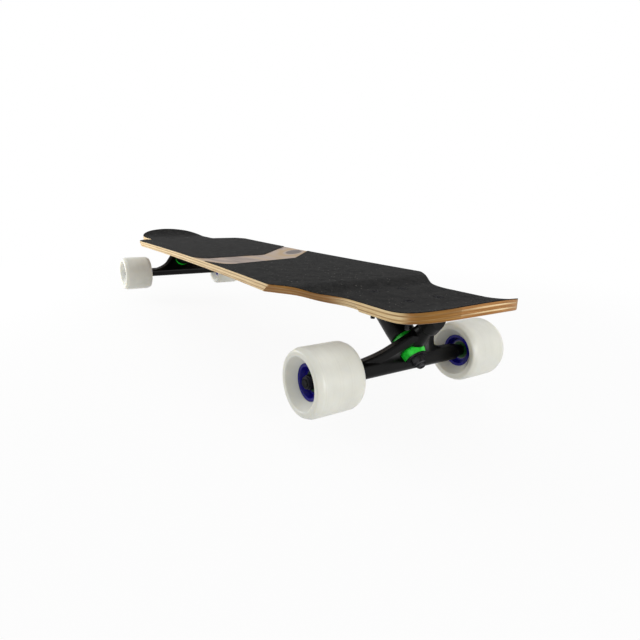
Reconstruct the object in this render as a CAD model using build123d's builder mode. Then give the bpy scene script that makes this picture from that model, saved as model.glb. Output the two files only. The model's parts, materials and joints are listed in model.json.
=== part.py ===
import os
from math import asin, atan, atan2, cos, degrees, radians, sin, tan

from build123d import *

os.makedirs("parts", exist_ok=True)

# All sizes are millimetres. +X is the front end, +Y the left side, +Z is up, and the ground is Z = 0.

# Deck, with the ends of its platform, necks and bends measured from the axles
wheelbase = 748
end_overhang = 109.5
platform_width = 232
waist_width = 219
neck_width = 138
corner_to_axle = 96
neck_to_axle = 25.5
platform_corner_radius = 16
neck_blend_radius = 70
end_corner_radius = 48
end_arc_radius = 110
ply_thickness = 9.8
grip_thickness = 0.8
deck_edge_radius = 1.5
bevel_inset = 7
bevel_land = 1.2
bevel_room = 40
bevel_lift = 4
platform_drop = 5
drop_run = 40
flange_to_drop = 1
flange_to_upturn = 1
upturn_radius = 170
upturn_spare_angle = 6

# Bare wood band between the two pieces of grip: the right and left corners (X, Y) of its front and rear
# edges, and the angles at which the edges sweep back from those corners to the sides of the deck
band_front_corners = [(118, -94), (85, 34)]
band_rear_corners = [(41, -100), (25, 10)]
band_right_sweep = 19
band_left_sweep = 42
band_corner_radius = 15

# Trucks
track = 210
axle_radius = 4
axle_to_deck = 64.4
kingpin_slope = 40
ring_forward = 8.8
ring_rise = 20.3
steer_limit = 18
steer_room = 0.6

# Kingpin, its bushings, washer and nut, measured along the kingpin from the middle of the hanger's ring
kingpin_radius = 4.75
kingpin_head_flats = 14
kingpin_head_height = 6
kingpin_tail = 3.4
bushing_radius = 13.3
barrel_height = 13
cone_height = 9.5
cone_straight = 3
cone_end_radius = 11.6
bushing_chamfer = 1
washer_radius = 12
washer_thickness = 1.6
kingpin_nut_flats = 14.3
kingpin_nut_height = 8

# Hanger, whose gusset's outline is (sideways, along the pivot axis) from the middle of the ring
ring_web = 9
ring_lip = 2
ring_lip_gap = 0.5
ring_wall = 3.7
ring_hole_radius = 7.6
arm_height = 18
arm_depth = 16
arm_edge_radius = 6
arm_tip_length = 12
arm_tip_radius = 6.5
gusset_foot_inset = 2
gusset_foot_place = -16.5
gusset_middle = [(53, -11.3), (44, -6.8), (36, -0.8), (30, 6.5), (24, 14)]
gusset_middle_run = 63
gusset_top = (15, 26)
gusset_base = -26.5
gusset_ridge_inset = 8
gusset_back_slope = 7
gusset_front_slope = 3.5
neck_base_radius = 10.5
neck_base_end = 20
pivot_neck_radius = 8.5
pivot_neck_gap = 0.6
pivot_nose_radius = 6.3
pivot_nose_depth = 7.5
pivot_nose_rounding = 3

# Baseplate and pivot cup
flange_front = 40
flange_back = 37
flange_width = 57
flange_thickness = 8
flange_corner_radius = 7
block_front = 14
block_back = 21
block_width = 46
block_depth = 9
block_taper = 14
seat_rim = 12.5
boss_rim_wall = 1.6
boss_radius = 15.4
boss_taper_length = 6
boss_head_wall = 17
head_pocket_radius = 9
housing_start = 36
housing_radius = 11.8
housing_front = 47
pivot_cup_wall = 2.4
pivot_cup_lip = 0.3
pivot_cup_end_wall = 1.7

# Deck bolts on the usual rectangular four-hole pattern
bolt_spacing_x = 53.98
bolt_spacing_y = 41.28
bolt_shift = -3
bolt_radius = 2.4
bolt_head_radius = 5
bolt_tail = 6
bolt_socket_flats = 3.2
bolt_socket_depth = 2
deck_nut_flats = 9.5
deck_nut_height = 5.5

# Wheels, measured from the middle of each wheel
wheel_diameter = 70
wheel_width = 55.6
tread_width = 43.4
lip_drop = 2.7
lip_width = 5.3
recess_rounding = 1.5
lip_rounding = 2.5
tread_rounding = 8
core_radius = 18.7
core_width = 35.4
core_mouth_radius = 15.5
core_throat_radius = 12.6
core_shoulder_radius = 9.2

# Bearings of the common 8 x 22 x 7 size, and what holds them on the axle
bearing_radius = 11
bearing_width = 7
bearing_spacer = 10
ball_circle_radius = 7.5
ball_radius = 1.95
ball_count = 7
groove_radius = 2.05
inner_race_radius = 6
outer_race_bore = 9
shield_thickness = 0.4
shield_seat_depth = 0.75
shield_seat_width = 0.8
shield_inner_radius = 6.3
cage_inner_radius = 6.8
cage_outer_radius = 8.2
cage_back = 2.7
cage_front = -0.6
spacer_radius = 5.2
speed_ring_radius = 6.2
speed_ring_thickness = 1
axle_nut_flats = 13
axle_nut_height = 7.5
axle_tail = 2
nut_collar_inset = 0.4

# Fits, and how near a corner must be to count as the one looked for
close_fit = 0.05
loose_fit = 0.2
ball_pocket_gap = 0.2
corner_tolerance = 0.01

# Places that follow from the sizes above
axle_height = wheel_diameter / 2
axle_x = wheelbase / 2
deck_length = wheelbase + 2 * end_overhang
platform_corner_x = axle_x - corner_to_axle
neck_start_x = axle_x - neck_to_axle
drop_end_x = axle_x - flange_back - flange_to_drop
drop_start_x = drop_end_x - drop_run
upturn_start_x = axle_x + flange_front + flange_to_upturn
deck_underside = axle_height + axle_to_deck
truck_top = deck_underside + ply_thickness + grip_thickness
flange_underside = deck_underside - flange_thickness
bearing_pack = bearing_spacer / 2 + bearing_width
hanger_face = track / 2 - bearing_pack - speed_ring_thickness
arm_end_y = hanger_face - arm_tip_length
axle_end = track / 2 + bearing_pack + speed_ring_thickness + axle_nut_height + axle_tail

# Kingpin axis and pivot axis cross at right angles in the middle of the hanger's ring
ring_centre = Vector(axle_x + ring_forward, 0, axle_height + ring_rise)
kingpin_down = Vector(cos(radians(kingpin_slope)), 0, -sin(radians(kingpin_slope)))
pivot_up = Vector(sin(radians(kingpin_slope)), 0, cos(radians(kingpin_slope)))
kingpin_axis = Axis(ring_centre, kingpin_down)
pivot_axis = Axis(ring_centre, pivot_up)
kingpin_plane = Plane(ring_centre, x_dir=(0, 1, 0), z_dir=kingpin_down)
kingpin_section = Plane(ring_centre, x_dir=pivot_up, z_dir=(0, 1, 0))
pivot_section = Plane(ring_centre, x_dir=kingpin_down, z_dir=(0, -1, 0))

bushing_start = ring_web / 2
barrel_end = bushing_start + barrel_height
cone_end = bushing_start + cone_height
washer_end = cone_end + washer_thickness
lip_end = bushing_start + ring_lip
lip_bore = bushing_radius + ring_lip_gap
kingpin_nut_end = washer_end + kingpin_nut_height
kingpin_head_seat = barrel_end + boss_head_wall
steer_room_radius = washer_radius + steer_room
seat_bore_radius = bushing_radius + loose_fit
boss_rim_radius = seat_bore_radius + boss_rim_wall

# The hanger's nose goes into the pivot cup, and its neck narrows just short of the cup
pivot_bore = pivot_nose_radius + close_fit
pivot_cup_radius = pivot_bore + pivot_cup_wall
pivot_cup_mouth = housing_start - pivot_cup_lip
pivot_nose_end = housing_start + pivot_nose_depth
pivot_cup_floor = pivot_nose_end + pivot_cup_lip
pivot_cup_end = pivot_cup_floor + pivot_cup_end_wall
pivot_neck_end = pivot_cup_mouth - pivot_neck_gap - (pivot_neck_radius - pivot_nose_radius)

bolt_places = [
    (end * (axle_x + bolt_shift) + step_x * bolt_spacing_x / 2, step_y * bolt_spacing_y / 2)
    for end in (1, -1)
    for step_x in (1, -1)
    for step_y in (1, -1)
]


def write(part, name):
    """Label a finished piece and write it as its own file."""
    part.label = name
    export_step(part, f"parts/{name}.step")


def write_at_both_ends(piece, name):
    """Write a truck piece for the front, and turned half round for the rear."""
    for end, turn in (("front", 0), ("rear", 180)):
        with BuildPart() as placed:
            add(piece.part.rotate(Axis.Z, turn))
        write(placed.part, f"{end}_{name}")


def write_in_each_wheel(piece, name):
    """Write a wheel piece, modelled round the origin, in its four places."""
    for end, x in (("front", axle_x), ("rear", -axle_x)):
        for side, y in (("left", track / 2), ("right", -track / 2)):
            with BuildPart() as placed:
                add(piece.part.moved(Location((x, y, axle_height))))
            write(placed.part, f"{end}_{side}_{name}")


def write_on_each_axle(piece, name):
    """Write a piece that sits on the axle in both of its wheels, as one group for each truck."""
    for end, x in (("front", axle_x), ("rear", -axle_x)):
        with BuildPart() as placed:
            for y, turn in ((track / 2, 0), (-track / 2, 180)):
                add(piece.part.rotate(Axis.Z, turn).moved(Location((x, y, axle_height))))
        write(placed.part, f"{end}_{name}")


def turned(section, axis, outline):
    """A turned piece: an outline of (radius, place along the axis) points, revolved about the axis."""
    with BuildPart() as piece:
        with BuildSketch(section):
            with BuildLine():
                Polyline(*outline, close=True)
            make_face()
        revolve(axis=axis)
    return piece


def wheel_turned(outline):
    """A piece turned about a wheel's own axis, from (radius, place along the axle) points."""
    return turned(Plane.XY, Axis.Y, outline)


def mirrored_corners(sketch, place):
    """The corners of a mirrored sketch that lie at a place or at its mirror images."""
    return sketch.vertices().filter_by(
        lambda v: (Vector(abs(v.X), abs(v.Y)) - Vector(*place)).length < corner_tolerance
    )


def side_line(depth):
    """Half of the deck's side view, at a depth under the grip surface, from the middle to past the end."""
    bend = 2 * degrees(atan(platform_drop / drop_run))
    bend_radius = drop_run / 2 / sin(radians(bend))
    end_bend = degrees(asin((deck_length / 2 - upturn_start_x) / upturn_radius)) + upturn_spare_angle
    platform = Line((0, truck_top + platform_drop - depth), (drop_start_x, truck_top + platform_drop - depth))
    fall = JernArc(platform @ 1, platform % 1, bend_radius - depth, -bend)
    level = JernArc(fall @ 1, fall % 1, bend_radius + depth, bend)
    seat = Line(level @ 1, (upturn_start_x, truck_top - depth))
    upturn = JernArc(seat @ 1, (1, 0), upturn_radius + depth, end_bend)
    return platform @ 0, upturn @ 1


def layer(top_depth, bottom_depth):
    """The deck's side view between two depths, as wide as the platform, for the outline to trim."""
    with BuildPart() as sheet:
        with BuildSketch(Plane.XZ):
            with BuildLine():
                top_middle, top_end = side_line(top_depth)
                bottom_middle, bottom_end = side_line(bottom_depth)
                Line(top_middle, bottom_middle)
                Line(top_end, bottom_end)
            make_face()
            mirror(about=Plane.YZ)
        extrude(amount=platform_width, both=True)
    return sheet


def deck_outline():
    """The deck seen from above: a waisted platform, cut in to a neck with a rounded end past each axle."""
    half = deck_length / 2
    corner = (platform_corner_x, platform_width / 2)
    neck = (neck_start_x, neck_width / 2)
    end_x = half - end_arc_radius + (end_arc_radius**2 - (neck_width / 2) ** 2) ** 0.5
    end_corner = (end_x, neck_width / 2)
    with BuildSketch() as outline:
        with BuildLine():
            ThreePointArc((-corner[0], corner[1]), (0, waist_width / 2), corner)
            Line(corner, neck)
            Line(neck, end_corner)
            ThreePointArc(end_corner, (half, 0), (end_x, -neck_width / 2))
            mirror(about=Plane.XZ)
            mirror(about=Plane.YZ)
        make_face()
        for place, radius in (
            (corner, platform_corner_radius),
            (neck, neck_blend_radius),
            (end_corner, end_corner_radius),
        ):
            fillet(mirrored_corners(outline, place), radius)
    return outline.sketch


def bolt_holes():
    """Countersunk holes for the deck bolts, sunk from the grip's surface."""
    with Locations(*[(x, y, truck_top) for x, y in bolt_places]):
        CounterSinkHole(bolt_radius + loose_fit, bolt_head_radius + loose_fit)


def cut_out_bevel():
    """What a bevel under one slanted cut-out takes off, wider towards the underside, to give a wheel room."""
    start_height = truck_top + bevel_lift
    corner = Vector(platform_corner_x, platform_width / 2, start_height + platform_drop)
    neck = Vector(neck_start_x, neck_width / 2, start_height)
    run = neck - corner
    outward = Vector(-run.Y, run.X, 0)
    turn = degrees(atan2(outward.X, outward.Y))
    blend = neck_blend_radius * tan(radians(turn / 2))
    slope = bevel_inset / (ply_thickness - bevel_land)
    clear = (bevel_lift + grip_thickness + bevel_land) * slope
    with BuildPart() as bevel:
        with BuildSketch(Plane(corner, x_dir=run, z_dir=run.cross(outward))):
            with BuildLine():
                cut = Line((-bevel_room, clear), (run.length - blend, clear))
                curve = JernArc(cut @ 1, cut % 1, neck_blend_radius - clear, turn)
                Polyline(curve @ 1, (run.length, bevel_room), (-bevel_room, bevel_room), cut @ 0)
            make_face()
        extrude(amount=-bevel_lift - 2 * ply_thickness, taper=-degrees(atan(slope)))
        mirror(about=Plane.XZ)
        mirror(about=Plane.YZ)
    return bevel.part


# The deck: pressed plywood, one thickness all over, bevelled under its slanted cut-outs
outline_face = deck_outline()
with BuildPart() as deck:
    add(layer(grip_thickness, grip_thickness + ply_thickness).part)
    with BuildSketch(Plane.XY):
        add(outline_face)
    extrude(amount=2 * truck_top, mode=Mode.INTERSECT)
    underside = deck.faces().filter_by(lambda face: face.normal_at().Z < -0.5)
    rim = [edge for edge in underside.edges() if len([f for f in underside if edge in f.edges()]) == 1]
    fillet(rim, deck_edge_radius)
    add(cut_out_bevel(), mode=Mode.SUBTRACT)
    bolt_holes()
write(deck.part, "deck")

# The grip: abrasive sheet over the deck's top, in two pieces with a band of bare wood between them
for name, corners, end_x in (
    ("front", band_front_corners, deck_length),
    ("rear", band_rear_corners, -deck_length),
):
    with BuildPart() as grip:
        add(layer(0, grip_thickness).part)
        with BuildSketch(Plane.XY) as sheet:
            add(outline_face)
            with BuildLine():
                right = PolarLine(corners[0], deck_length, 180 + band_right_sweep)
                Line(corners[0], corners[1])
                left = PolarLine(corners[1], deck_length, 180 - band_left_sweep)
                Polyline(right @ 1, (end_x, (right @ 1).Y), (end_x, (left @ 1).Y), left @ 1)
            make_face(mode=Mode.INTERSECT)
            fillet([v for v in sheet.vertices() if (v.X, v.Y) in corners], band_corner_radius)
        extrude(amount=2 * truck_top, mode=Mode.INTERSECT)
        bolt_holes()
    write(grip.part, f"grip_tape_{name}")

# Deck bolts: flat countersunk heads with a hexagon socket, flush with the grip
with BuildPart() as deck_bolts:
    bolt_end = flange_underside - deck_nut_height - bolt_tail
    for x, y in bolt_places:
        with BuildSketch(Plane.XY.offset(bolt_end)):
            with Locations((x, y)):
                Circle(bolt_radius)
        extrude(amount=truck_top - bolt_end)
        with Locations((x, y, truck_top - (bolt_head_radius - bolt_radius) / 2)):
            Cone(bolt_radius, bolt_head_radius, bolt_head_radius - bolt_radius)
        with BuildSketch(Plane.XY.offset(truck_top)):
            with Locations((x, y)):
                RegularPolygon(bolt_socket_flats / 2, 6, major_radius=False)
        extrude(amount=-bolt_socket_depth, mode=Mode.SUBTRACT)
write(deck_bolts.part, "deck_bolts")

# Deck nuts: six-sided lock nuts against the underside of the flange
with BuildPart() as deck_nuts:
    with BuildSketch(Plane.XY.offset(flange_underside)):
        with Locations(*bolt_places):
            RegularPolygon(deck_nut_flats / 2, 6, major_radius=False)
            Circle(bolt_radius + close_fit, mode=Mode.SUBTRACT)
    extrude(amount=-deck_nut_height)
write(deck_nuts.part, "deck_nuts")

# Baseplate: a flange under the deck, a slanted boss for the kingpin and a housing for the pivot cup
boss_reach = 2 * axle_to_deck
with BuildPart() as baseplate:
    with BuildSketch(Plane.XY.offset(deck_underside)):
        with Locations((axle_x + (flange_front - flange_back) / 2, 0)):
            RectangleRounded(flange_front + flange_back, flange_width, flange_corner_radius)
    extrude(amount=-flange_thickness)
    with BuildSketch(Plane.XY.offset(flange_underside)):
        with Locations((axle_x + (block_front - block_back) / 2, 0)):
            RectangleRounded(block_front + block_back, block_width, flange_corner_radius)
    extrude(amount=-block_depth, taper=block_taper)
    add(
        turned(
            kingpin_section,
            kingpin_axis,
            [
                (0, -seat_rim),
                (boss_rim_radius, -seat_rim),
                (boss_rim_radius, -barrel_end),
                (boss_radius, -barrel_end - boss_taper_length),
                (boss_radius, -boss_reach),
                (0, -boss_reach),
            ],
        ).part
    )
    add(
        turned(
            pivot_section,
            pivot_axis,
            [
                (0, housing_start),
                (housing_radius, housing_start),
                (housing_radius, boss_reach),
                (0, boss_reach),
            ],
        ).part
    )
    split(bisect_by=Plane.XY.offset(deck_underside), keep=Keep.BOTTOM)
    split(bisect_by=Plane.YZ.offset(axle_x + housing_front), keep=Keep.BOTTOM)
    split(bisect_by=Plane.YZ.offset(axle_x - flange_back), keep=Keep.TOP)
    add(
        turned(
            kingpin_section,
            kingpin_axis,
            [
                (0, 0),
                (seat_bore_radius, 0),
                (seat_bore_radius, -barrel_end),
                (kingpin_radius + close_fit, -barrel_end),
                (kingpin_radius + close_fit, -kingpin_head_seat),
                (head_pocket_radius, -kingpin_head_seat),
                (head_pocket_radius, -boss_reach),
                (0, -boss_reach),
            ],
        ).part,
        mode=Mode.SUBTRACT,
    )
    add(
        turned(
            pivot_section,
            pivot_axis,
            [
                (0, 0),
                (pivot_cup_radius + close_fit, 0),
                (pivot_cup_radius + close_fit, pivot_cup_end),
                (0, pivot_cup_end),
            ],
        ).part,
        mode=Mode.SUBTRACT,
    )
    with BuildSketch(Plane.XY.offset(deck_underside)):
        with Locations((axle_x + bolt_shift, 0)):
            with GridLocations(bolt_spacing_x, bolt_spacing_y, 2, 2):
                Circle(bolt_radius + loose_fit)
    extrude(amount=-flange_thickness, mode=Mode.SUBTRACT)
write_at_both_ends(baseplate, "baseplate")

# Pivot cup: a urethane thimble in the baseplate, which the hanger's nose turns in
pivot_cup = turned(
    pivot_section,
    pivot_axis,
    [
        (pivot_bore, pivot_cup_mouth),
        (pivot_cup_radius, pivot_cup_mouth),
        (pivot_cup_radius, pivot_cup_end),
        (0, pivot_cup_end),
        (0, pivot_cup_floor),
        (pivot_bore, pivot_cup_floor),
    ],
)
write_at_both_ends(pivot_cup, "pivot_cup")

# Kingpin: a six-sided head in the baseplate and a plain shank through the bushings
with BuildPart() as kingpin:
    with BuildSketch(kingpin_plane.offset(-kingpin_head_seat)):
        Circle(kingpin_radius)
    extrude(amount=kingpin_head_seat + kingpin_nut_end + kingpin_tail)
    chamfer(kingpin.edges().filter_by(GeomType.CIRCLE).sort_by(kingpin_axis)[-1], kingpin_tail / 2)
    with BuildSketch(kingpin_plane.offset(-kingpin_head_seat)):
        RegularPolygon(kingpin_head_flats / 2, 6, major_radius=False)
    extrude(amount=-kingpin_head_height)
write_at_both_ends(kingpin, "kingpin")

# Bushings: a urethane barrel seated in the baseplate, and a cone between the hanger's ring and the washer
bushing_bore = kingpin_radius + loose_fit
boardside_bushing = turned(
    kingpin_section,
    kingpin_axis,
    [
        (bushing_bore, -bushing_start),
        (bushing_radius - bushing_chamfer, -bushing_start),
        (bushing_radius, -bushing_start - bushing_chamfer),
        (bushing_radius, -barrel_end + bushing_chamfer),
        (bushing_radius - bushing_chamfer, -barrel_end),
        (bushing_bore, -barrel_end),
    ],
)
write_at_both_ends(boardside_bushing, "boardside_bushing")

roadside_bushing = turned(
    kingpin_section,
    kingpin_axis,
    [
        (bushing_bore, bushing_start),
        (bushing_radius - bushing_chamfer, bushing_start),
        (bushing_radius, bushing_start + bushing_chamfer),
        (bushing_radius, bushing_start + cone_straight),
        (cone_end_radius, cone_end),
        (bushing_bore, cone_end),
    ],
)
write_at_both_ends(roadside_bushing, "roadside_bushing")

# Kingpin washer: a flat steel ring between the cone bushing and the nut
kingpin_washer = turned(
    kingpin_section,
    kingpin_axis,
    [
        (kingpin_radius + close_fit, cone_end),
        (washer_radius, cone_end),
        (washer_radius, washer_end),
        (kingpin_radius + close_fit, washer_end),
    ],
)
write_at_both_ends(kingpin_washer, "kingpin_washer")

# Kingpin nut: a six-sided lock nut with a round collar
collar_height = kingpin_nut_height / 3
with BuildPart() as kingpin_nut:
    with BuildSketch(kingpin_plane.offset(washer_end)):
        RegularPolygon(kingpin_nut_flats / 2, 6, major_radius=False)
    extrude(amount=kingpin_nut_height - collar_height)
    with BuildSketch(kingpin_plane.offset(kingpin_nut_end - collar_height)):
        Circle(kingpin_nut_flats / 2 - nut_collar_inset)
    extrude(amount=collar_height)
    chamfer(kingpin_nut.edges().filter_by(GeomType.CIRCLE).sort_by(kingpin_axis)[-1], collar_height / 3)
    with BuildSketch(kingpin_plane.offset(washer_end)):
        Circle(kingpin_radius + close_fit)
    extrude(amount=kingpin_nut_height, mode=Mode.SUBTRACT)
write_at_both_ends(kingpin_nut, "kingpin_nut")

# Hanger: arms along the axle, a gusset and a ring round the kingpin, and a nose up to the pivot cup
# The middle of the gusset's outline is drawn for a run from its top out to its foot, and stretches with it
gusset_foot = (arm_end_y - gusset_foot_inset, gusset_foot_place)
gusset_stretch = (gusset_foot[0] - gusset_top[0]) / gusset_middle_run
gusset_curve = [(gusset_top[0] + (out - gusset_top[0]) * gusset_stretch, up) for out, up in gusset_middle]
with BuildPart() as gusset:
    with BuildSketch(kingpin_plane.offset(-lip_end)):
        with BuildLine():
            Polyline((0, gusset_base), (gusset_foot[0], gusset_base), gusset_foot)
            Spline(gusset_foot, *gusset_curve, gusset_top, tangents=[(-1, 0), (-1, 1)])
            Line(gusset_top, (0, gusset_top[1]))
            mirror(about=Plane.YZ)
        make_face()
    extrude(amount=2 * lip_end)
    for side, slope in ((0, gusset_back_slope), (-1, gusset_front_slope)):
        flank = gusset.faces().filter_by(kingpin_plane).sort_by(kingpin_axis)[side]
        chamfer(flank.edges().filter_by(GeomType.BSPLINE), gusset_ridge_inset, slope, reference=flank)

ring_radius = lip_bore + ring_wall
with BuildPart() as hanger:
    with BuildSketch(Plane.XZ.offset(-arm_end_y)):
        with Locations((axle_x, axle_height)):
            RectangleRounded(arm_depth, arm_height, arm_edge_radius)
    extrude(amount=2 * arm_end_y)
    add(gusset.part)
    with BuildSketch(kingpin_plane.offset(-lip_end)):
        Circle(ring_radius)
    extrude(amount=2 * lip_end)
    for side in (1, -1):
        with BuildSketch(Plane.XZ.offset(-side * arm_end_y)):
            with Locations((axle_x, axle_height)):
                Circle(arm_height / 2)
        with BuildSketch(Plane.XZ.offset(-side * hanger_face)):
            with Locations((axle_x, axle_height)):
                Circle(arm_tip_radius)
        loft()
    add(
        turned(
            pivot_section,
            pivot_axis,
            [
                (0, 0),
                (neck_base_radius, 0),
                (neck_base_radius, neck_base_end),
                (pivot_neck_radius, pivot_neck_end),
                (pivot_nose_radius, pivot_neck_end + pivot_neck_radius - pivot_nose_radius),
                (pivot_nose_radius, pivot_nose_end - pivot_nose_rounding),
                (pivot_nose_radius - pivot_nose_rounding, pivot_nose_end),
                (0, pivot_nose_end),
            ],
        ).part
    )
    for turn in (-steer_limit, -steer_limit / 2, 0, steer_limit / 2, steer_limit):
        swung = Plane(
            ring_centre,
            x_dir=Vector(0, 1, 0).rotate(pivot_axis, turn),
            z_dir=kingpin_down.rotate(pivot_axis, turn),
        )
        with BuildSketch(swung.offset(bushing_start)):
            Circle(steer_room_radius)
        extrude(amount=2 * axle_height, mode=Mode.SUBTRACT)
    for facing, height in ((1, cone_height), (-1, barrel_height)):
        with BuildSketch(kingpin_plane.offset(facing * bushing_start)):
            Circle(lip_bore)
        extrude(amount=facing * height, mode=Mode.SUBTRACT)
    with BuildSketch(kingpin_plane):
        Circle(ring_hole_radius)
    extrude(amount=ring_web, both=True, mode=Mode.SUBTRACT)
    with BuildSketch(Plane.XZ):
        with Locations((axle_x, axle_height)):
            Circle(axle_radius + close_fit)
    extrude(amount=track, both=True, mode=Mode.SUBTRACT)
write_at_both_ends(hanger, "hanger")

# Axle: a steel rod through the hanger
with BuildPart() as axle:
    with BuildSketch(Plane.XZ):
        with Locations((axle_x, axle_height)):
            Circle(axle_radius)
    extrude(amount=axle_end, both=True)
    chamfer(axle.edges().filter_by(GeomType.CIRCLE), axle_tail / 3)
write_at_both_ends(axle, "axle")

# Tyre: a poured urethane ring with rounded lips and a dished face on both sides
lip_radius = wheel_diameter / 2 - lip_drop
recess_radius = lip_radius - lip_width
with BuildPart() as tyre:
    with BuildSketch(Plane.XY) as section:
        with BuildLine():
            Polyline(
                (core_radius + close_fit, 0),
                (core_radius + close_fit, core_width / 2),
                (recess_radius, wheel_width / 2),
                (lip_radius, wheel_width / 2),
                (wheel_diameter / 2, tread_width / 2),
                (wheel_diameter / 2, 0),
            )
            mirror(about=Plane.XZ)
        make_face()
        for radius, y, rounding in (
            (recess_radius, wheel_width / 2, recess_rounding),
            (lip_radius, wheel_width / 2, lip_rounding),
            (wheel_diameter / 2, tread_width / 2, tread_rounding),
        ):
            fillet(mirrored_corners(section, (radius, y)), rounding)
    revolve(axis=Axis.Y)
write_in_each_wheel(tyre, "tyre")

# Core: a moulded plastic hub with a seat for a bearing from each side
seat_bore = bearing_radius + close_fit
core = wheel_turned(
    [
        (core_radius, -core_width / 2),
        (core_radius, core_width / 2),
        (core_mouth_radius, core_width / 2),
        (core_throat_radius, bearing_pack),
        (seat_bore, bearing_pack),
        (seat_bore, bearing_spacer / 2),
        (core_shoulder_radius, bearing_spacer / 2),
        (core_shoulder_radius, -bearing_spacer / 2),
        (seat_bore, -bearing_spacer / 2),
        (seat_bore, -bearing_pack),
        (core_throat_radius, -bearing_pack),
        (core_mouth_radius, -core_width / 2),
    ]
)
write_in_each_wheel(core, "core")

# Bearings: outer races and inner races with a ball groove, balls, cages and shields, two of each in a wheel
bearing_middle = (bearing_spacer + bearing_width) / 2
bearing_planes = [Plane.XZ.offset(bearing_middle), Plane.XZ.offset(-bearing_middle)]


def race(inner, outer, shield_seat):
    """Both races of one wheel, with the ball groove, and shield seats where shield_seat is a radius."""
    with BuildPart() as races:
        for place in (bearing_middle, -bearing_middle):
            with BuildSketch():
                with Locations(((inner + outer) / 2, place)):
                    Rectangle(outer - inner, bearing_width)
                with Locations((ball_circle_radius, place)):
                    Circle(groove_radius, mode=Mode.SUBTRACT)
                if shield_seat:
                    for face in (bearing_width / 2, -bearing_width / 2):
                        with Locations(((inner + shield_seat) / 2, place + face)):
                            Rectangle(shield_seat - inner, 2 * shield_seat_depth, mode=Mode.SUBTRACT)
            revolve(axis=Axis.Y)
    return races


shield_radius = outer_race_bore + shield_seat_width
write_in_each_wheel(race(outer_race_bore, bearing_radius, shield_radius + close_fit), "outer_races")
write_on_each_axle(race(axle_radius + close_fit, inner_race_radius, 0), "inner_races")

with BuildPart() as bearing_balls:
    with Locations(*bearing_planes):
        with PolarLocations(ball_circle_radius, ball_count):
            Sphere(ball_radius)
write_in_each_wheel(bearing_balls, "bearing_balls")

with BuildPart() as bearing_cages:
    for facing in (1, -1):
        back = facing * (bearing_middle - cage_back)
        front = facing * (bearing_middle - cage_front)
        add(
            wheel_turned(
                [
                    (cage_inner_radius, back),
                    (cage_outer_radius, back),
                    (cage_outer_radius, front),
                    (cage_inner_radius, front),
                ]
            ).part
        )
    with Locations(*bearing_planes):
        with PolarLocations(ball_circle_radius, ball_count):
            Sphere(ball_radius + ball_pocket_gap, mode=Mode.SUBTRACT)
write_in_each_wheel(bearing_cages, "bearing_cages")

with BuildPart() as bearing_shields:
    for facing in (1, -1):
        for face in (bearing_spacer / 2, bearing_pack - shield_thickness):
            start = face + (shield_seat_depth - shield_thickness) * (1 if face < bearing_middle else -1)
            add(
                wheel_turned(
                    [
                        (shield_inner_radius, facing * start),
                        (shield_radius, facing * start),
                        (shield_radius, facing * (start + shield_thickness)),
                        (shield_inner_radius, facing * (start + shield_thickness)),
                    ]
                ).part
            )
write_in_each_wheel(bearing_shields, "bearing_shields")

# Spacer between the two inner races, and speed rings outside them
axle_bore = axle_radius + close_fit
bearing_spacers = wheel_turned(
    [
        (axle_bore, -bearing_spacer / 2),
        (spacer_radius, -bearing_spacer / 2),
        (spacer_radius, bearing_spacer / 2),
        (axle_bore, bearing_spacer / 2),
    ]
)
write_on_each_axle(bearing_spacers, "bearing_spacers")

with BuildPart() as speed_rings:
    for facing in (1, -1):
        add(
            wheel_turned(
                [
                    (axle_bore, facing * bearing_pack),
                    (speed_ring_radius, facing * bearing_pack),
                    (speed_ring_radius, facing * (bearing_pack + speed_ring_thickness)),
                    (axle_bore, facing * (bearing_pack + speed_ring_thickness)),
                ]
            ).part
        )
write_on_each_axle(speed_rings, "speed_rings")

# Axle nuts: six-sided lock nuts with a round collar
axle_nut_start = bearing_pack + speed_ring_thickness
axle_nut_collar = axle_nut_height / 3
with BuildPart() as axle_nuts:
    with BuildSketch(Plane.XZ.offset(-axle_nut_start)):
        RegularPolygon(axle_nut_flats / 2, 6, major_radius=False)
    extrude(amount=-(axle_nut_height - axle_nut_collar))
    with BuildSketch(Plane.XZ.offset(-axle_nut_start)):
        Circle(axle_nut_flats / 2 - nut_collar_inset)
    extrude(amount=-axle_nut_height)
    with BuildSketch(Plane.XZ.offset(-axle_nut_start)):
        Circle(axle_bore)
    extrude(amount=-axle_nut_height, mode=Mode.SUBTRACT)
write_on_each_axle(axle_nuts, "axle_nuts")
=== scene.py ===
# %% [markdown]
# # A longboard in a white studio
#
# The imported model of a cut-away longboard is already the right shape and size. This lesson gives every
# piece of it the finish of the real material, adds the screw threads, cuts the bushings into thin slices, and
# sets up the floor, the light and the camera. It runs from top to bottom, and each step says what the real
# thing is before it is made.

# %% Load the imported board
import json
from math import cos, radians, sin, tau

import bmesh
import bpy
from mathutils import Matrix, Vector


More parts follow.
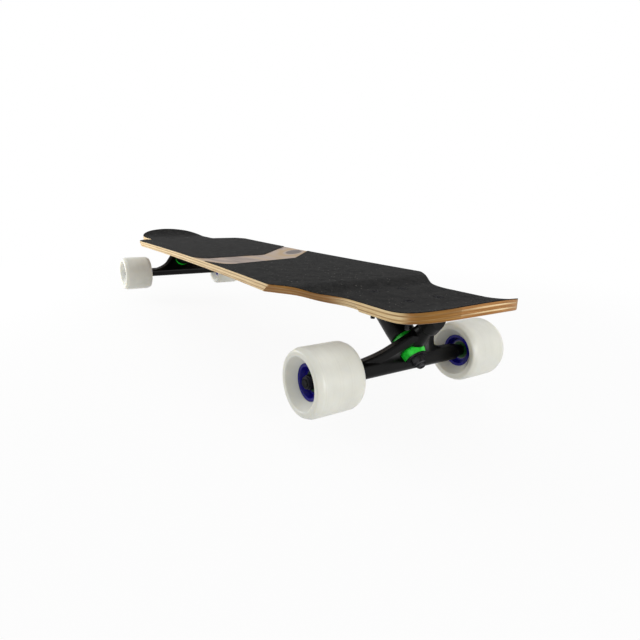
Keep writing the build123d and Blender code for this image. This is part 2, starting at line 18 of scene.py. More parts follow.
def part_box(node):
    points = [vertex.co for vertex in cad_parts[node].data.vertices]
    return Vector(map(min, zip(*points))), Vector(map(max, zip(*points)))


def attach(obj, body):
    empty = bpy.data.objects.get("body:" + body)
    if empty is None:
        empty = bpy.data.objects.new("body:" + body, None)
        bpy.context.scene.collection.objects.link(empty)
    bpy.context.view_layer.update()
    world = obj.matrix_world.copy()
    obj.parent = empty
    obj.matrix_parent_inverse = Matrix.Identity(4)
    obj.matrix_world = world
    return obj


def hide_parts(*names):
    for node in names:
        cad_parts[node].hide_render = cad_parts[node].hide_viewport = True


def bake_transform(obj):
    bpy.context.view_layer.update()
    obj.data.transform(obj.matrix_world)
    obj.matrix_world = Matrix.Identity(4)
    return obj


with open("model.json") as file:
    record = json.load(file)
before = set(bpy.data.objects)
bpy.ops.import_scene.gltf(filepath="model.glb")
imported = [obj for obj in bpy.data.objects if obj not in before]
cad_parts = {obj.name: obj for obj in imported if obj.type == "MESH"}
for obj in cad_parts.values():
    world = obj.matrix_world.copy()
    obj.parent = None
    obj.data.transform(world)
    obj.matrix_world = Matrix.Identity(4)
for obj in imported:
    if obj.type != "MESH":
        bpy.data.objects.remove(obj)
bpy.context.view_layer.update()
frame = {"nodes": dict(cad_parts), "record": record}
nodes = frame["nodes"]
scene = bpy.context.scene
scene.view_settings.view_transform = "Standard"

# %% [markdown]
# ## Four helpers
#
# Colours are written as the hex values that a paint program shows, which are sRGB. Blender's sockets want
# linear light, so one function converts them. A pattern's size is easiest to think of in millimetres, and
# the textures here are measured in metres, so a second function turns one into the other. The third adds a
# shader node with its settings and links, because that is what most lines of a material do. The fourth starts
# a material, with the values that are the same all over it.

# %% Colour, scale and node helpers
def linear(hex_colour):
    """An sRGB hex colour as the linear RGBA that a colour socket takes."""
    parts = [int(hex_colour[i : i + 2], 16) / 255 for i in (1, 3, 5)]
    return [p / 12.92 if p <= 0.04045 else ((p + 0.055) / 1.055) ** 2.4 for p in parts] + [1.0]


def per_mm(size):
    """The texture scale at which one repeat is this many millimetres, where coordinates are metres."""
    return 1000 / size


def add_node(tree, kind, inputs=None, stops=None, **settings):
    """Add a shader node: set its properties, set or link its inputs, and give a colour ramp its stops."""
    made = tree.nodes.new("ShaderNode" + kind)
    for name, value in settings.items():
        setattr(made, name, value)
    for key, value in (inputs or {}).items():
        if isinstance(value, bpy.types.NodeSocket):
            tree.links.new(value, made.inputs[key])
        else:
            made.inputs[key].default_value = value
    for number, (place, colour) in enumerate(stops or []):
        ramp = made.color_ramp.elements
        stop = ramp[number] if number < 2 else ramp.new(place)
        stop.position = place
        stop.color = linear(colour)
    return made


def new_finish(name, **sockets):
    """A material, its node tree and its surface shader, with the values that are the same all over."""
    made = bpy.data.materials.new(name)
    made.use_nodes = True
    surface = made.node_tree.nodes["Principled BSDF"]
    for socket, value in sockets.items():
        surface.inputs[socket.replace("_", " ")].default_value = value
    return made, made.node_tree, surface


finishes = {}
print("helpers ready")

# %% [markdown]
# ## Pressed plywood
#
# The deck is thin maple veneers, glued and pressed together in a curved mould, then cut out and lacquered.
# Its edge shows the veneers as stripes. Most of them run along the board, and two run across it. A veneer
# looks pale where the edge cuts along its fibres and brown where it cuts through them, because open fibre
# ends drink in the lacquer. So on the long sides the two crossed veneers are the dark stripes, on the rounded
# ends they are the pale ones, and on the slanted cut-outs every veneer is brown. There the brown is also
# painted darker and more even than the grain alone makes it: that part is painted shade, because those faces
# turn away from the light. The stripes could be modelled as separate sheets, but they are one glued piece, so
# the material works out how deep a point lies under the top of the bent deck and picks the veneer from that.

# %% How deep a point lies in the deck
plywood, tree, surface = new_finish(
    "lacquered_maple_plywood", Roughness=0.5, IOR=1.5, Specular_IOR_Level=0.25, Coat_Weight=0.05
)
place = add_node(tree, "TexCoord")
here = add_node(tree, "SeparateXYZ", {0: place.outputs["Object"]})
facing = add_node(tree, "VectorMath", {0: place.outputs["Normal"]}, operation="ABSOLUTE")
facing = add_node(tree, "SeparateXYZ", {0: facing.outputs[0]})
along = add_node(tree, "Math", {0: here.outputs["X"]}, operation="ABSOLUTE")

wood_top = 0.1092
wood_thickness = 0.0098
drop_start = 0.296
drop_end = 0.336
platform_rise = 0.005
upturn_start = 0.415
upturn_radius = 0.1708
rise = add_node(
    tree,
    "MapRange",
    {"Value": along.outputs[0], "From Min": drop_end, "From Max": drop_start, "To Max": platform_rise},
    interpolation_type="SMOOTHSTEP",
)
past = add_node(tree, "Math", {0: along.outputs[0], 1: upturn_start}, operation="SUBTRACT")
past = add_node(tree, "Math", {0: past.outputs[0], 1: 0.0}, operation="MAXIMUM")
level = add_node(tree, "Math", {0: here.outputs["Z"], 1: rise.outputs[0]}, operation="SUBTRACT")
under = add_node(tree, "Math", {0: wood_top + upturn_radius, 1: level.outputs[0]}, operation="SUBTRACT")
from_centre = add_node(tree, "CombineXYZ", {"X": past.outputs[0], "Y": under.outputs[0]})
reach = add_node(tree, "VectorMath", {0: from_centre.outputs[0]}, operation="LENGTH")
depth = add_node(tree, "Math", {0: reach.outputs["Value"], 1: upturn_radius}, operation="SUBTRACT")
share = add_node(tree, "Math", {0: depth.outputs[0], 1: wood_thickness}, operation="DIVIDE")
middle = add_node(tree, "Math", {0: share.outputs[0], 1: 0.5}, operation="SUBTRACT")
from_middle = add_node(tree, "Math", {0: middle.outputs[0]}, operation="ABSOLUTE")
print("veneers are counted from the middle of", round(1000 * wood_thickness, 1), "mm of wood")

# %% The veneers on the edge
crossed = add_node(
    tree,
    "ValToRGB",
    {0: from_middle.outputs[0]},
    [
        (0.0, "#000000"),
        (0.134, "#000000"),
        (0.146, "#ffffff"),
        (0.264, "#ffffff"),
        (0.276, "#000000"),
    ],
)
in_sheet = add_node(
    tree, "CombineXYZ", {"X": here.outputs["X"], "Y": here.outputs["Y"], "Z": depth.outputs[0]}
)
streak_size = add_node(
    tree,
    "VectorMath",
    {0: in_sheet.outputs[0], 1: (per_mm(30), per_mm(30), per_mm(0.7))},
    operation="MULTIPLY",
)
streaks = add_node(tree, "TexNoise", {"Vector": streak_size.outputs[0], "Scale": 1, "Detail": 4})
veneer_colours = []
for axis, cut_along, cut_through in (
    ("X", ("#cfae78", "#e0c48f", "#ead5aa"), ("#84561f", "#a06d32", "#b6834a")),
    ("Y", ("#d2b184", "#e5c796", "#efd9b2"), ("#957245", "#b08b5a", "#c6a579")),
):
    open_ends = add_node(
        tree,
        "MapRange",
        {"Value": facing.outputs[axis], "From Min": 0.08, "From Max": 0.36},
        interpolation_type="SMOOTHSTEP",
    )
    tones = [
        add_node(tree, "ValToRGB", {0: streaks.outputs[0]}, list(zip((0.3, 0.5, 0.7), colours)))
        for colours in (cut_along, cut_through)
    ]
    veneer_colours.append(
        add_node(
            tree,
            "Mix",
            {0: open_ends.outputs[0], 6: tones[0].outputs[0], 7: tones[1].outputs[0]},
            data_type="RGBA",
        )
    )
edge_colour = add_node(
    tree,
    "Mix",
    {
        0: crossed.outputs[0],
        6: veneer_colours[0].outputs["Result"],
        7: veneer_colours[1].outputs["Result"],
    },
    data_type="RGBA",
)
# Slanted cut-outs get a darker, even brown: partly open end grain, partly painted shade of faces turned from
# the light.
slant = add_node(tree, "Math", {0: facing.outputs["X"], 1: facing.outputs["Y"]}, operation="MINIMUM")
slanted_grain_and_shade = add_node(
    tree,
    "MapRange",
    {"Value": slant.outputs[0], "From Min": 0.26, "From Max": 0.46, "To Max": 0.7},
    interpolation_type="SMOOTHSTEP",
)
slanted_grain_and_shade_colour = add_node(
    tree,
    "ValToRGB",
    {0: streaks.outputs[0]},
    [(0.3, "#6e4a18"), (0.5, "#895f22"), (0.7, "#a57833")],
)
edge_grain_and_slant_shade = add_node(
    tree,
    "Mix",
    {0: slanted_grain_and_shade.outputs[0], 6: edge_colour.outputs["Result"], 7: slanted_grain_and_shade_colour.outputs[0]},
    data_type="RGBA",
)
line_places = (0.0, 0.14, 0.27, 0.39)
line_width = 0.01
glue_stops = [(line_places[0], "#9c7a58"), (line_places[0] + line_width, "#ffffff")]
for line in line_places[1:]:
    glue_stops += [(line - line_width, "#ffffff"), (line, "#9c7a58"), (line + line_width, "#ffffff")]
glue = add_node(tree, "ValToRGB", {0: from_middle.outputs[0]}, glue_stops)
glued_edge = add_node(
    tree,
    "Mix",
    {0: 0.45, 6: edge_grain_and_slant_shade.outputs["Result"], 7: glue.outputs[0]},
    data_type="RGBA",
    blend_type="MULTIPLY",
)
print("edge veneers: two crossed, with a glue line between each two sheets")

# %% [markdown]
# ## The face veneer
#
# The bare band across the top shows the outermost veneer. It is sliced from a log that was never quite
# straight, so the growth rings come out as long wandering lines. Height lines on a map of gentle hills look
# the same. So the material makes hills out of smooth noise, stretched along the board as the trunk grew, and
# draws pale and dark wood by height, with fine fibres on top. Where the knife just touched a swelling, the
# lines close into an eye: one such eye is placed near the left edge, as a slanting ellipse that fades into
# the hills.

# %% Growth rings of the face veneer
log_shift = (0.13, 0.0, 0.0)
hill_length = 190
hill_width = 84
rings_per_hill = 5
in_log = add_node(tree, "VectorMath", {0: place.outputs["Object"], 1: log_shift}, operation="ADD")
hill_size = add_node(
    tree,
    "VectorMath",
    {0: in_log.outputs[0], 1: (per_mm(hill_length), per_mm(hill_width), per_mm(hill_width))},
    operation="MULTIPLY",
)
hills = add_node(tree, "TexNoise", {"Vector": hill_size.outputs[0], "Scale": 1, "Detail": 1.2})
ring_turn = add_node(tree, "Math", {0: hills.outputs[0], 1: tau * rings_per_hill}, operation="MULTIPLY")
hill_rings = add_node(tree, "Math", {0: ring_turn.outputs[0]}, operation="SINE")
eye_middle = (0.004, 0.079, 0.0)
to_eye = add_node(tree, "VectorMath", {0: place.outputs["Object"], 1: eye_middle}, operation="SUBTRACT")
eye_slant = radians(42)
turned = add_node(
    tree, "VectorRotate", {"Vector": to_eye.outputs[0], "Angle": eye_slant}, rotation_type="Z_AXIS"
)
eye_size = add_node(
    tree, "VectorMath", {0: turned.outputs[0], 1: (per_mm(43), per_mm(15), 0)}, operation="MULTIPLY"
)
from_eye = add_node(tree, "VectorMath", {0: eye_size.outputs[0]}, operation="LENGTH")
eye_rings = add_node(
    tree,
    "MapRange",
    {"Value": from_eye.outputs["Value"], "From Min": 0.75, "From Max": 1.2, "To Min": -1},
)
eye_share = add_node(
    tree,
    "MapRange",
    {"Value": from_eye.outputs["Value"], "From Min": 1.4, "From Max": 2.4, "To Min": 1, "To Max": 0},
)
faint_rings = add_node(tree, "Math", {0: hill_rings.outputs[0], 1: 0.65}, operation="MULTIPLY")
rings = add_node(tree, "Mix", {0: eye_share.outputs[0], 2: faint_rings.outputs[0], 3: eye_rings.outputs[0]})
fibre_size = add_node(
    tree,
    "VectorMath",
    {0: place.outputs["Object"], 1: (per_mm(60), per_mm(2.4), per_mm(2.4))},
    operation="MULTIPLY",
)
fibres = add_node(tree, "TexNoise", {"Vector": fibre_size.outputs[0], "Scale": 1, "Detail": 4})
ring_tone = add_node(
    tree, "Math", {0: fibres.outputs[0], 1: 0.7, 2: rings.outputs[0]}, operation="MULTIPLY_ADD"
)
ring_share = add_node(
    tree, "MapRange", {"Value": ring_tone.outputs[0], "From Min": -0.65, "From Max": 1.35}
)
face_colour = add_node(
    tree,
    "ValToRGB",
    {0: ring_share.outputs[0]},
    [(0.0, "#4a3b33"), (0.2, "#927f73"), (0.42, "#b09a8a"), (0.72, "#b1987e"), (1.0, "#b09063")],
)
on_face = add_node(
    tree,
    "MapRange",
    {"Value": facing.outputs["Z"], "From Min": 0.75, "From Max": 0.88},
)
wood_colour = add_node(
    tree,
    "Mix",
    {0: on_face.outputs[0], 6: glued_edge.outputs["Result"], 7: face_colour.outputs[0]},
    data_type="RGBA",
)
tree.links.new(wood_colour.outputs["Result"], surface.inputs["Base Color"])
pores = add_node(
    tree, "Bump", {"Height": fibres.outputs[0], "Strength": 0.2, "Distance": 0.0002}
)
tree.links.new(pores.outputs[0], surface.inputs["Normal"])
finishes["plywood"] = plywood
print("veneer hills are", hill_length, "by", hill_width, "mm")

# %% [markdown]
# ## Grip sheet
#
# The top is covered with black silicon carbide grit glued to a sheet, like coarse sandpaper. To the eye it is
# a dull charcoal with tiny glints where a grain happens to face the light, and faint specks of dust. Real
# grains are about 0.4 mm, which is finer than a pixel here, so the grit is drawn at 1.6 mm. The glints are
# painted highlights: pale dots painted into the grit's colour in a few cells of 2.4 mm, whatever the light.

# %% Grit, painted glints and dust
grip, tree, surface = new_finish("silicon_carbide_grip_sheet", Roughness=0.85, Specular_IOR_Level=0.1)
place = add_node(tree, "TexCoord")
grit = add_node(
    tree,
    "TexNoise",
    {"Vector": place.outputs["Object"], "Scale": per_mm(1.6), "Detail": 5, "Roughness": 0.75},
)
grit_colour = add_node(
    tree, "ValToRGB", {0: grit.outputs[0]}, [(0.42, "#010101"), (0.52, "#070707"), (0.62, "#29292a")]
)
dust = add_node(
    tree, "TexNoise", {"Vector": place.outputs["Object"], "Scale": per_mm(14), "Detail": 8, "Roughness": 0.8}
)
dust_share = add_node(
    tree, "MapRange", {"Value": dust.outputs[0], "From Min": 0.42, "From Max": 0.66, "To Max": 0.11}
)
dusty = add_node(
    tree,
    "Mix",
    {0: dust_share.outputs[0], 6: grit_colour.outputs[0], 7: linear("#6f6d6a")},
    data_type="RGBA",
)
# Painted highlights: a few cells get a pale dot in the base colour, standing in for glints of grains.
glint_cells = add_node(tree, "TexVoronoi", {"Vector": place.outputs["Object"], "Scale": per_mm(2.4)})
glint_cell_pick = add_node(tree, "SeparateColor", {0: glint_cells.outputs["Color"]})
glinting_cell = add_node(tree, "Math", {0: glint_cell_pick.outputs[0], 1: 0.95}, operation="GREATER_THAN")
painted_glint_dot = add_node(tree, "Math", {0: glint_cells.outputs["Distance"], 1: 0.24}, operation="LESS_THAN")
painted_glint = add_node(tree, "Math", {0: glinting_cell.outputs[0], 1: painted_glint_dot.outputs[0]}, operation="MULTIPLY")
grit_dust_and_painted_glints = add_node(
    tree,
    "Mix",
    {0: painted_glint.outputs[0], 6: dusty.outputs["Result"], 7: linear("#7f7d78")},
    data_type="RGBA",
)
tree.links.new(grit_dust_and_painted_glints.outputs["Result"], surface.inputs["Base Color"])
rough = add_node(tree, "Bump", {"Height": grit.outputs[0], "Strength": 0.6, "Distance": 0.0005})
tree.links.new(rough.outputs[0], surface.inputs["Normal"])
finishes["grip"] = grip
print("grip made of", len(tree.nodes), "nodes")

# %% [markdown]
# ## Cast and coated trucks
#
# Hangers and baseplates are aluminium castings under a satin black powder coat. Powder melts into a skin with
# a faint orange-peel ripple about 2 mm wide, and it runs round every corner, so no edge is knife sharp. The
# Bevel node rounds the corners for the light without changing the shape.

# %% Satin black powder coat
coat, tree, surface = new_finish("powder_coated_aluminium", Roughness=0.4, IOR=1.5, Specular_IOR_Level=0.12)
place = add_node(tree, "TexCoord")
peel = add_node(
    tree, "TexNoise", {"Vector": place.outputs["Object"], "Scale": per_mm(2), "Detail": 2}
)
cast_edges = add_node(tree, "Bevel", {"Radius": 0.0022}, samples=6)
peeled = add_node(
    tree,
    "Bump",
    {"Height": peel.outputs[0], "Strength": 0.15, "Distance": 0.0003, "Normal": cast_edges.outputs[0]},
)
tree.links.new(peeled.outputs[0], surface.inputs["Normal"])
scuff = add_node(
    tree, "TexNoise", {"Vector": place.outputs["Object"], "Scale": per_mm(18), "Detail": 6, "Roughness": 0.7}
)
coat_colour = add_node(
    tree, "ValToRGB", {0: scuff.outputs[0]}, [(0.35, "#040404"), (0.6, "#080808"), (0.85, "#131314")]
)
tree.links.new(coat_colour.outputs[0], surface.inputs["Base Color"])
coat_gloss = add_node(
    tree,
    "MapRange",
    {"Value": scuff.outputs[0], "From Min": 0.3, "From Max": 0.8, "To Min": 0.28, "To Max": 0.44},
)
tree.links.new(coat_gloss.outputs[0], surface.inputs["Roughness"])
finishes["cast_truck"] = coat
print("powder coat ready")

# %% [markdown]
# ## Steel: black bolts, oiled axles, ground bearings
#
# Bolts, nuts and kingpins are steel with a black oxide skin: still a metal, but dark, and a little oily.
# Axles, spacers and speed rings are turned steel under the same oil. Bearing races and balls are ground
# smoother, and sit deep in the hubs; their colour is painted much darker than bare steel, as painted shade
# for the hollow of the hub. One loop makes the three, because they differ only in colour, in how much they
# brighten at a glancing angle, in polish and in the size of the tool's marks.

# %% Three steels
for slot, name, dark, light, rim, smooth, dull, mark in (
    ("black_steel", "black_oxide_steel", "#38383a", "#4a4a4c", "#77777a", 0.42, 0.62, 0.8),
    ("axle_steel", "oiled_axle_steel", "#262628", "#3c3c3e", "#77777a", 0.35, 0.55, 0.35),
    # Bearing steel: its colour is painted darker than bare steel, as painted shade for the hollow of the hub.
    ("bearing_steel", "bearing_steel_with_painted_shade", "#3c3e40", "#595b5e", "#8f9194", 0.22, 0.36, 0.3),
):
    steel, tree, surface = new_finish(name, Metallic=1.0, Specular_Tint=linear(rim))
    place = add_node(tree, "TexCoord")
    marks = add_node(
        tree, "TexNoise", {"Vector": place.outputs["Object"], "Scale": per_mm(mark), "Detail": 3}
    )
    smears = add_node(
        tree, "TexNoise", {"Vector": place.outputs["Object"], "Scale": per_mm(6), "Detail": 4}
    )
    tone = add_node(tree, "ValToRGB", {0: smears.outputs[0]}, [(0.35, dark), (0.7, light)])
    polish = add_node(
        tree,
        "MapRange",
        {"Value": marks.outputs[0], "From Min": 0.3, "From Max": 0.7, "To Min": smooth, "To Max": dull},
    )
    worn_edges = add_node(tree, "Bevel", {"Radius": 0.0003}, samples=4)
    tree.links.new(tone.outputs[0], surface.inputs["Base Color"])
    tree.links.new(polish.outputs[0], surface.inputs["Roughness"])
    tree.links.new(worn_edges.outputs[0], surface.inputs["Normal"])
    finishes[slot] = steel
print("steels:", [slot for slot in finishes if "steel" in slot])

# %% [markdown]
# ## Soft urethane wheels
#
# The wheels are polyurethane poured round a hub, then turned to size on a lathe. Off-white urethane lets
# light sink in and spread a few millimetres, so it glows a little and its shadows are soft: that is what
# subsurface scattering gives. All four wheels share one material. Taking each coordinate without its sign
# folds the four wheels onto one, and from there the distance from the axle tells tread from side.

# %% Off-white urethane with turned rings
tyre, tree, surface = new_finish(
    "off_white_cast_urethane",
    Roughness=0.36,
    IOR=1.49,
    Subsurface_Weight=0.7,
    Subsurface_Radius=(1.0, 0.92, 0.72),
    Subsurface_Scale=0.006,
)
place = add_node(tree, "TexCoord")
folded = add_node(tree, "VectorMath", {0: place.outputs["Object"]}, operation="ABSOLUTE")
axle_x = 0.374
axle_height = 0.035
wheel_middle = (axle_x, 0.105, axle_height)
in_wheel = add_node(tree, "VectorMath", {0: folded.outputs[0], 1: wheel_middle}, operation="SUBTRACT")
wheel_place = add_node(tree, "SeparateXYZ", {0: in_wheel.outputs[0]})
across = add_node(
    tree, "CombineXYZ", {"X": wheel_place.outputs["X"], "Y": wheel_place.outputs["Z"]}
)
wheel_reach = add_node(tree, "VectorMath", {0: across.outputs[0]}, operation="LENGTH")
on_tread = add_node(
    tree, "MapRange", {"Value": wheel_reach.outputs["Value"], "From Min": 0.0335, "From Max": 0.0347}
)
turned_rings = add_node(
    tree,
    "TexNoise",
    {"W": wheel_place.outputs["Y"], "Scale": per_mm(2.6), "Detail": 3, "Roughness": 0.6},
    noise_dimensions="1D",
)
ring_mark = add_node(
    tree, "Math", {0: turned_rings.outputs[0], 1: on_tread.outputs[0]}, operation="MULTIPLY"
)
rolled = add_node(
    tree, "MapRange", {"Value": ring_mark.outputs[0], "From Min": 0.5, "From Max": 0.8, "To Max": 0.16}
)
clouds = add_node(
    tree, "TexNoise", {"Vector": place.outputs["Object"], "Scale": per_mm(20), "Detail": 3}
)
urethane = add_node(
    tree, "ValToRGB", {0: clouds.outputs[0]}, [(0.3, "#dadad1"), (0.7, "#e3e3da")]
)
wheel_colour = add_node(
    tree,
    "Mix",
    {0: rolled.outputs[0], 6: urethane.outputs[0], 7: linear("#b9b3a4")},
    data_type="RGBA",
)
tree.links.new(wheel_colour.outputs["Result"], surface.inputs["Base Color"])
ring_bump = add_node(
    tree, "Bump", {"Height": ring_mark.outputs[0], "Strength": 0.06, "Distance": 0.0003}
)
tree.links.new(ring_bump.outputs[0], surface.inputs["Normal"])
finishes["wheel_urethane"] = tyre
print("wheel finish ready")

# %% [markdown]
# ## Moulded and poured colours
#
# Bushings, pivot cups, hubs, bearing cages and seals are all moulded or poured, and each has one colour all
# through. What tells them apart is how smooth the mould was, how strongly the skin shines, how much light
# sinks in and how fine the texture is. Green urethane takes in some light, glass-filled nylon almost none.

# %% Bushings, cups, hubs, seals and cages
for slot, name, deep, bright, dull, shine, sink, texture in (
    ("bushing_urethane", "green_poured_urethane", "#10c222", "#26f040", 0.34, 0.5, 0.2, 4),
    ("pivot_urethane", "black_poured_urethane", "#131313", "#1f1f1f", 0.45, 0.3, 0.0, 4),
    ("core_plastic", "navy_moulded_nylon", "#0b0557", "#150b8c", 0.26, 0.16, 0.0, 1.2),
    ("shield_rubber", "green_nitrile_seal", "#163f1d", "#245a2c", 0.5, 0.16, 0.0, 1),
    ("cage_plastic", "grey_moulded_nylon", "#1d1e20", "#2d2e31", 0.5, 0.3, 0.0, 1),
):
    moulded, tree, surface = new_finish(
        name,
        Roughness=dull,
        IOR=1.5,
        Specular_IOR_Level=shine,
        Subsurface_Weight=sink,
        Subsurface_Scale=0.003,
    )
    place = add_node(tree, "TexCoord")
    flow = add_node(
        tree, "TexNoise", {"Vector": place.outputs["Object"], "Scale": per_mm(texture), "Detail": 4}
    )
    tone = add_node(tree, "ValToRGB", {0: flow.outputs[0]}, [(0.3, deep), (0.7, bright)])
    skin = add_node(tree, "Bump", {"Height": flow.outputs[0], "Strength": 0.08, "Distance": 0.0002})
    tree.links.new(tone.outputs[0], surface.inputs["Base Color"])
    tree.links.new(skin.outputs[0], surface.inputs["Normal"])
    finishes[slot] = moulded
print("finishes:", sorted(finishes))

# %% [markdown]
# ## Dress the pieces
#
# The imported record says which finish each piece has, so one loop puts them on.

# %% Put each finish on its pieces
for piece in frame["record"]["subparts"]:
    mesh = nodes[piece["node"]].data
    mesh.materials.clear()
    mesh.materials.append(finishes[piece["material_slot"]])

# %% [markdown]
# ## Screw threads
#
# Deck bolts, kingpins and axles stick out past their nuts, and there the thread shows. A thread is a ridge
# that winds round the rod, one pitch along for every turn. It is built as a strip of triangular sections, and
# it rises from nothing over its first half turn and fades over its last, as a rolled thread does. Bump in the
# steel could only hint at it, because the outline of the rod would stay smooth. The kingpins lean, so a
# small function says where they are. The bushings need it too.

# %% Find a kingpin
def kingpin_line(side):
    """The middle of a hanger's ring, and the way from there down the kingpin."""
    ring_x = 0.3828
    ring_height = 0.0553
    slope = radians(40)
    return Vector((side * ring_x, 0, ring_height)), Vector((side * cos(slope), 0, -sin(slope)))


# %% Wind a thread
def wind_thread(mesh, start, direction, rod_radius, pitch, length):
    """Add one thread's ridge to a bmesh, from a start point along a direction."""
    steps_per_turn = 32
    ridge = 0.28 * pitch
    half_width = 0.42 * pitch
    root = rod_radius - 0.1 * ridge
    steps = int(length / pitch * steps_per_turn)
    fade = steps_per_turn / 2
    turn_to = Vector((0, 0, 1)).rotation_difference(direction).to_matrix()
    previous = None
    for step in range(steps + 1):
        angle = tau * step / steps_per_turn
        climb = pitch * step / steps_per_turn
        height = ridge * min(1, step / fade, (steps - step) / fade)
        out = Vector((cos(angle), sin(angle), 0))
        up = Vector((0, 0, 1))
        section = [
            out * root + up * (climb - half_width),
            out * (rod_radius + height) + up * climb,
            out * root + up * (climb + half_width),
        ]
        row = [mesh.verts.new(start + turn_to @ point) for point in section]
        if previous:
            for a, b in ((0, 1), (1, 2), (2, 0)):
                mesh.faces.new((previous[a], previous[b], row[b], row[a]))
        else:
            mesh.faces.new(row)
        previous = row
    mesh.faces.new(reversed(previous))


def thread_piece(name, body, slot, threads, rod_radius, pitch):
    """One piece with a ridge for each (start, direction, length), riding on a body, in a slot's finish."""
    ridges = bmesh.new()
    for start, direction, length in threads:
        wind_thread(ridges, Vector(start), Vector(direction), rod_radius, pitch, length)
    bmesh.ops.recalc_face_normals(ridges, faces=ridges.faces)
    mesh = bpy.data.meshes.new(name)
    ridges.to_mesh(mesh)
    ridges.free()
    mesh.materials.append(finishes[slot])
    piece = bpy.data.objects.new(name, mesh)
    scene.collection.objects.link(piece)
    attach(piece, body)
    print(name, len(mesh.polygons), "faces")


# %% Threads on the deck bolts, the kingpins and the axle ends
bolt_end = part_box("deck_bolts")[0].z
nut_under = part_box("deck_nuts")[0].z
bolt_radius = 0.0024
bolt_pitch = 0.00079
bolt_middle = 0.371
bolt_out = (0.02699, 0.02064)
bolt_thread = nut_under - bolt_end - bolt_pitch
bolt_tails = [
    (
        (end * bolt_middle + x * bolt_out[0], y * bolt_out[1], bolt_end + 0.5 * bolt_pitch),
        (0, 0, 1),
        bolt_thread,
    )
    for end in (1, -1)
    for x in (1, -1)
    for y in (1, -1)
]
thread_piece("deck_bolt_threads", "deck", "black_steel", bolt_tails, bolt_radius, bolt_pitch)

trucks = (("front", 1), ("rear", -1))
truck_pitch = 0.00106
kingpin_radius = 0.00475
kingpin_thread = 0.0017
nut_distance = 0.0236
for end, side in trucks:
    ring_middle, kingpin_way = kingpin_line(side)
    nut_face = ring_middle + nut_distance * kingpin_way
    tail = (nut_face, kingpin_way, kingpin_thread)
    thread_piece(f"{end}_kingpin_threads", "deck", "black_steel", [tail], kingpin_radius, truck_pitch)

axle_radius = 0.004
for end, side in trucks:
    nut_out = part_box(f"{end}_axle_nuts")[1].y
    axle_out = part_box(f"{end}_axle")[1].y
    axle_thread = axle_out - nut_out - 0.4 * truck_pitch
    tails = [((side * axle_x, y * nut_out, axle_height), (0, y, 0), axle_thread) for y in (1, -1)]
    thread_piece(f"{end}_axle_threads", f"{end}_hanger", "axle_steel", tails, axle_radius, truck_pitch)

# %% [markdown]
# ## Sliced bushings
#
# When a truck turns, the hanger's ring tips on its kingpin, and the two urethane bushings give: each is
# squeezed on one side and stretched on the other. Here each is only copied from the imported model and cut
# into thin slices across its kingpin, between its seat and the hanger's ring.

# %% Slice the bushings
seat_distance = 0.0135
ring_distance = 0.0055
slices = 8
same_point = 0.000001
sharp_angle = radians(30)
for end, side in trucks:
    ring_middle, kingpin_way = kingpin_line(side)
    for bushing, sign in (("boardside", -1), ("roadside", 1)):
        outward = sign * kingpin_way
        in_seat = ring_middle + seat_distance * outward
        in_ring = ring_middle + ring_distance * outward
        sliced = bmesh.new()
        sliced.from_mesh(nodes[f"{end}_{bushing}_bushing"].data)
        bmesh.ops.remove_doubles(sliced, verts=sliced.verts[:], dist=same_point)
        for step in range(slices + 1):
            cut = in_seat.lerp(in_ring, step / slices)
            everything = sliced.verts[:] + sliced.edges[:] + sliced.faces[:]
            bmesh.ops.bisect_plane(sliced, geom=everything, plane_co=cut, plane_no=outward)
        for face in sliced.faces:
            face.smooth = True
        mesh = bpy.data.meshes.new(f"{end}_{bushing}_soft_bushing")
        sliced.to_mesh(mesh)
        sliced.free()
        mesh.set_sharp_from_angle(angle=sharp_angle)
        mesh.materials.append(finishes["bushing_urethane"])
        piece = bpy.data.objects.new(mesh.name, mesh)
        scene.collection.objects.link(piece)
        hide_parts(f"{end}_{bushing}_bushing")
        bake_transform(piece)
        print(piece.name, len(mesh.polygons), "faces")

# %% [markdown]
# ## White studio
#
# The world looks pure white to the camera and in reflections, but lights the board more gently, which the
# Light Path node can tell apart. The floor is white too, and fades into plain white light further out, so
# that no horizon shows. The deck stays level when a truck turns, so one wheel dips, and the floor lies low
# enough to leave it room. Three big soft lamps do the rest.

# %% World and floor
def seen_directly(tree):
    """A socket that is 1 for what the camera sees, also in reflections and through clear pieces."""
    rays = add_node(tree, "LightPath")
    seen = rays.outputs["Is Camera Ray"]
    for ray in ("Is Glossy Ray", "Is Transmission Ray"):
        seen = add_node(tree, "Math", {0: seen, 1: rays.outputs[ray]}, operation="MAXIMUM").outputs[0]
    return seen


world = bpy.data.worlds.new("white_room")
world.use_nodes = True
scene.world = world
tree = world.node_tree
room_light = 0.5
strength = add_node(tree, "MapRange", {"Value": seen_directly(tree), "To Min": room_light})
tree.links.new(strength.outputs[0], tree.nodes["Background"].inputs["Strength"])
tree.nodes["Background"].inputs["Color"].default_value = linear("#ffffff")

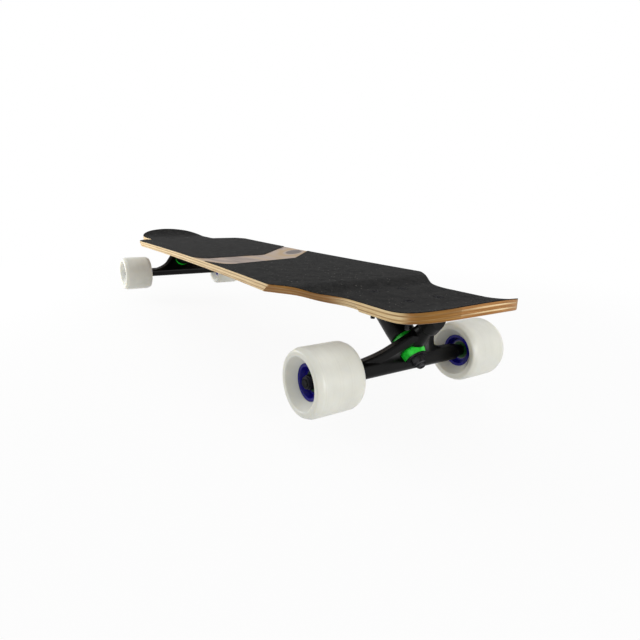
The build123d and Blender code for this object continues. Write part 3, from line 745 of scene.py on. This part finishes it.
floor_finish, tree, surface = new_finish("white_studio_floor", Roughness=0.9, Specular_IOR_Level=0.1)
surface.inputs["Base Color"].default_value = linear("#f6f6f6")
place = add_node(tree, "TexCoord")
away = add_node(tree, "VectorMath", {0: place.outputs["Object"]}, operation="LENGTH")
fade = add_node(
    tree,
    "MapRange",
    {"Value": away.outputs["Value"], "From Min": 0.5, "From Max": 1.3, "To Min": 0.92},
    interpolation_type="SMOOTHSTEP",
)
whiten = add_node(tree, "Math", {0: fade.outputs[0], 1: seen_directly(tree)}, operation="MULTIPLY")
glow = add_node(tree, "Emission", {"Color": linear("#ffffff"), "Strength": 1.0})
faded = add_node(tree, "MixShader", {0: whiten.outputs[0], 1: surface.outputs[0], 2: glow.outputs[0]})
tree.links.new(faded.outputs[0], tree.nodes["Material Output"].inputs["Surface"])

floor_mesh = bpy.data.meshes.new("floor")
half = 30
floor_corners = [(-half, -half, 0), (half, -half, 0), (half, half, 0), (-half, half, 0)]
floor_mesh.from_pydata(floor_corners, [], [(0, 1, 2, 3)])
floor_mesh.materials.append(floor_finish)
floor = bpy.data.objects.new("floor", floor_mesh)
room_to_dip = 0.026
floor.location.z = -room_to_dip
scene.collection.objects.link(floor)
print("room and floor ready")

# %% Lamps
for name, place, target, size, power in (
    ("overhead_softbox", (0.0, 0.1, 2.2), (0, 0, 0), 2.4, 9),
    ("left_window", (-0.85, -0.85, 0.3), (-0.35, -0.1, 0.06), 0.6, 8),
    ("front_fill", (3.2, 0.4, 0.6), (0.3, 0, 0.06), 1.2, 36),
):
    lamp = bpy.data.lights.new(name, "AREA")
    lamp.size = size
    lamp.energy = power
    lamp_object = bpy.data.objects.new(name, lamp)
    lamp_object.location = place
    lamp_object.rotation_euler = (Vector(target) - Vector(place)).to_track_quat("-Z", "Y").to_euler()
    scene.collection.objects.link(lamp_object)
    print(name, power, "W")

# %% [markdown]
# ## The camera
#
# The picture looks along the board from low down beside its front end, through a fairly wide lens, with the
# camera tilted a little. A camera looks along its own minus Z, so its matrix is built from the direction that
# it looks in, and then rolled.

# %% Place the camera
azimuth = radians(34.02)
elevation = radians(14.10)
roll = radians(1.63)
stand = (0.7345, -0.354, 0.2045)
ahead = Vector((-cos(azimuth) * cos(elevation), sin(azimuth) * cos(elevation), -sin(elevation)))
right = ahead.cross(Vector((0, 0, 1))).normalized()
upward = right.cross(ahead)
view = bpy.data.cameras.new("camera")
view.sensor_width = 36
view.lens = 26.87
view.clip_start = 0.01
camera = bpy.data.objects.new("camera", view)
aimed = Matrix((right, upward, -ahead)).transposed().to_4x4()
camera.matrix_world = Matrix.Translation(stand) @ aimed @ Matrix.Rotation(roll, 4, "Z")
scene.collection.objects.link(camera)
scene.camera = camera
print("camera at", [round(c, 3) for c in camera.matrix_world.translation])
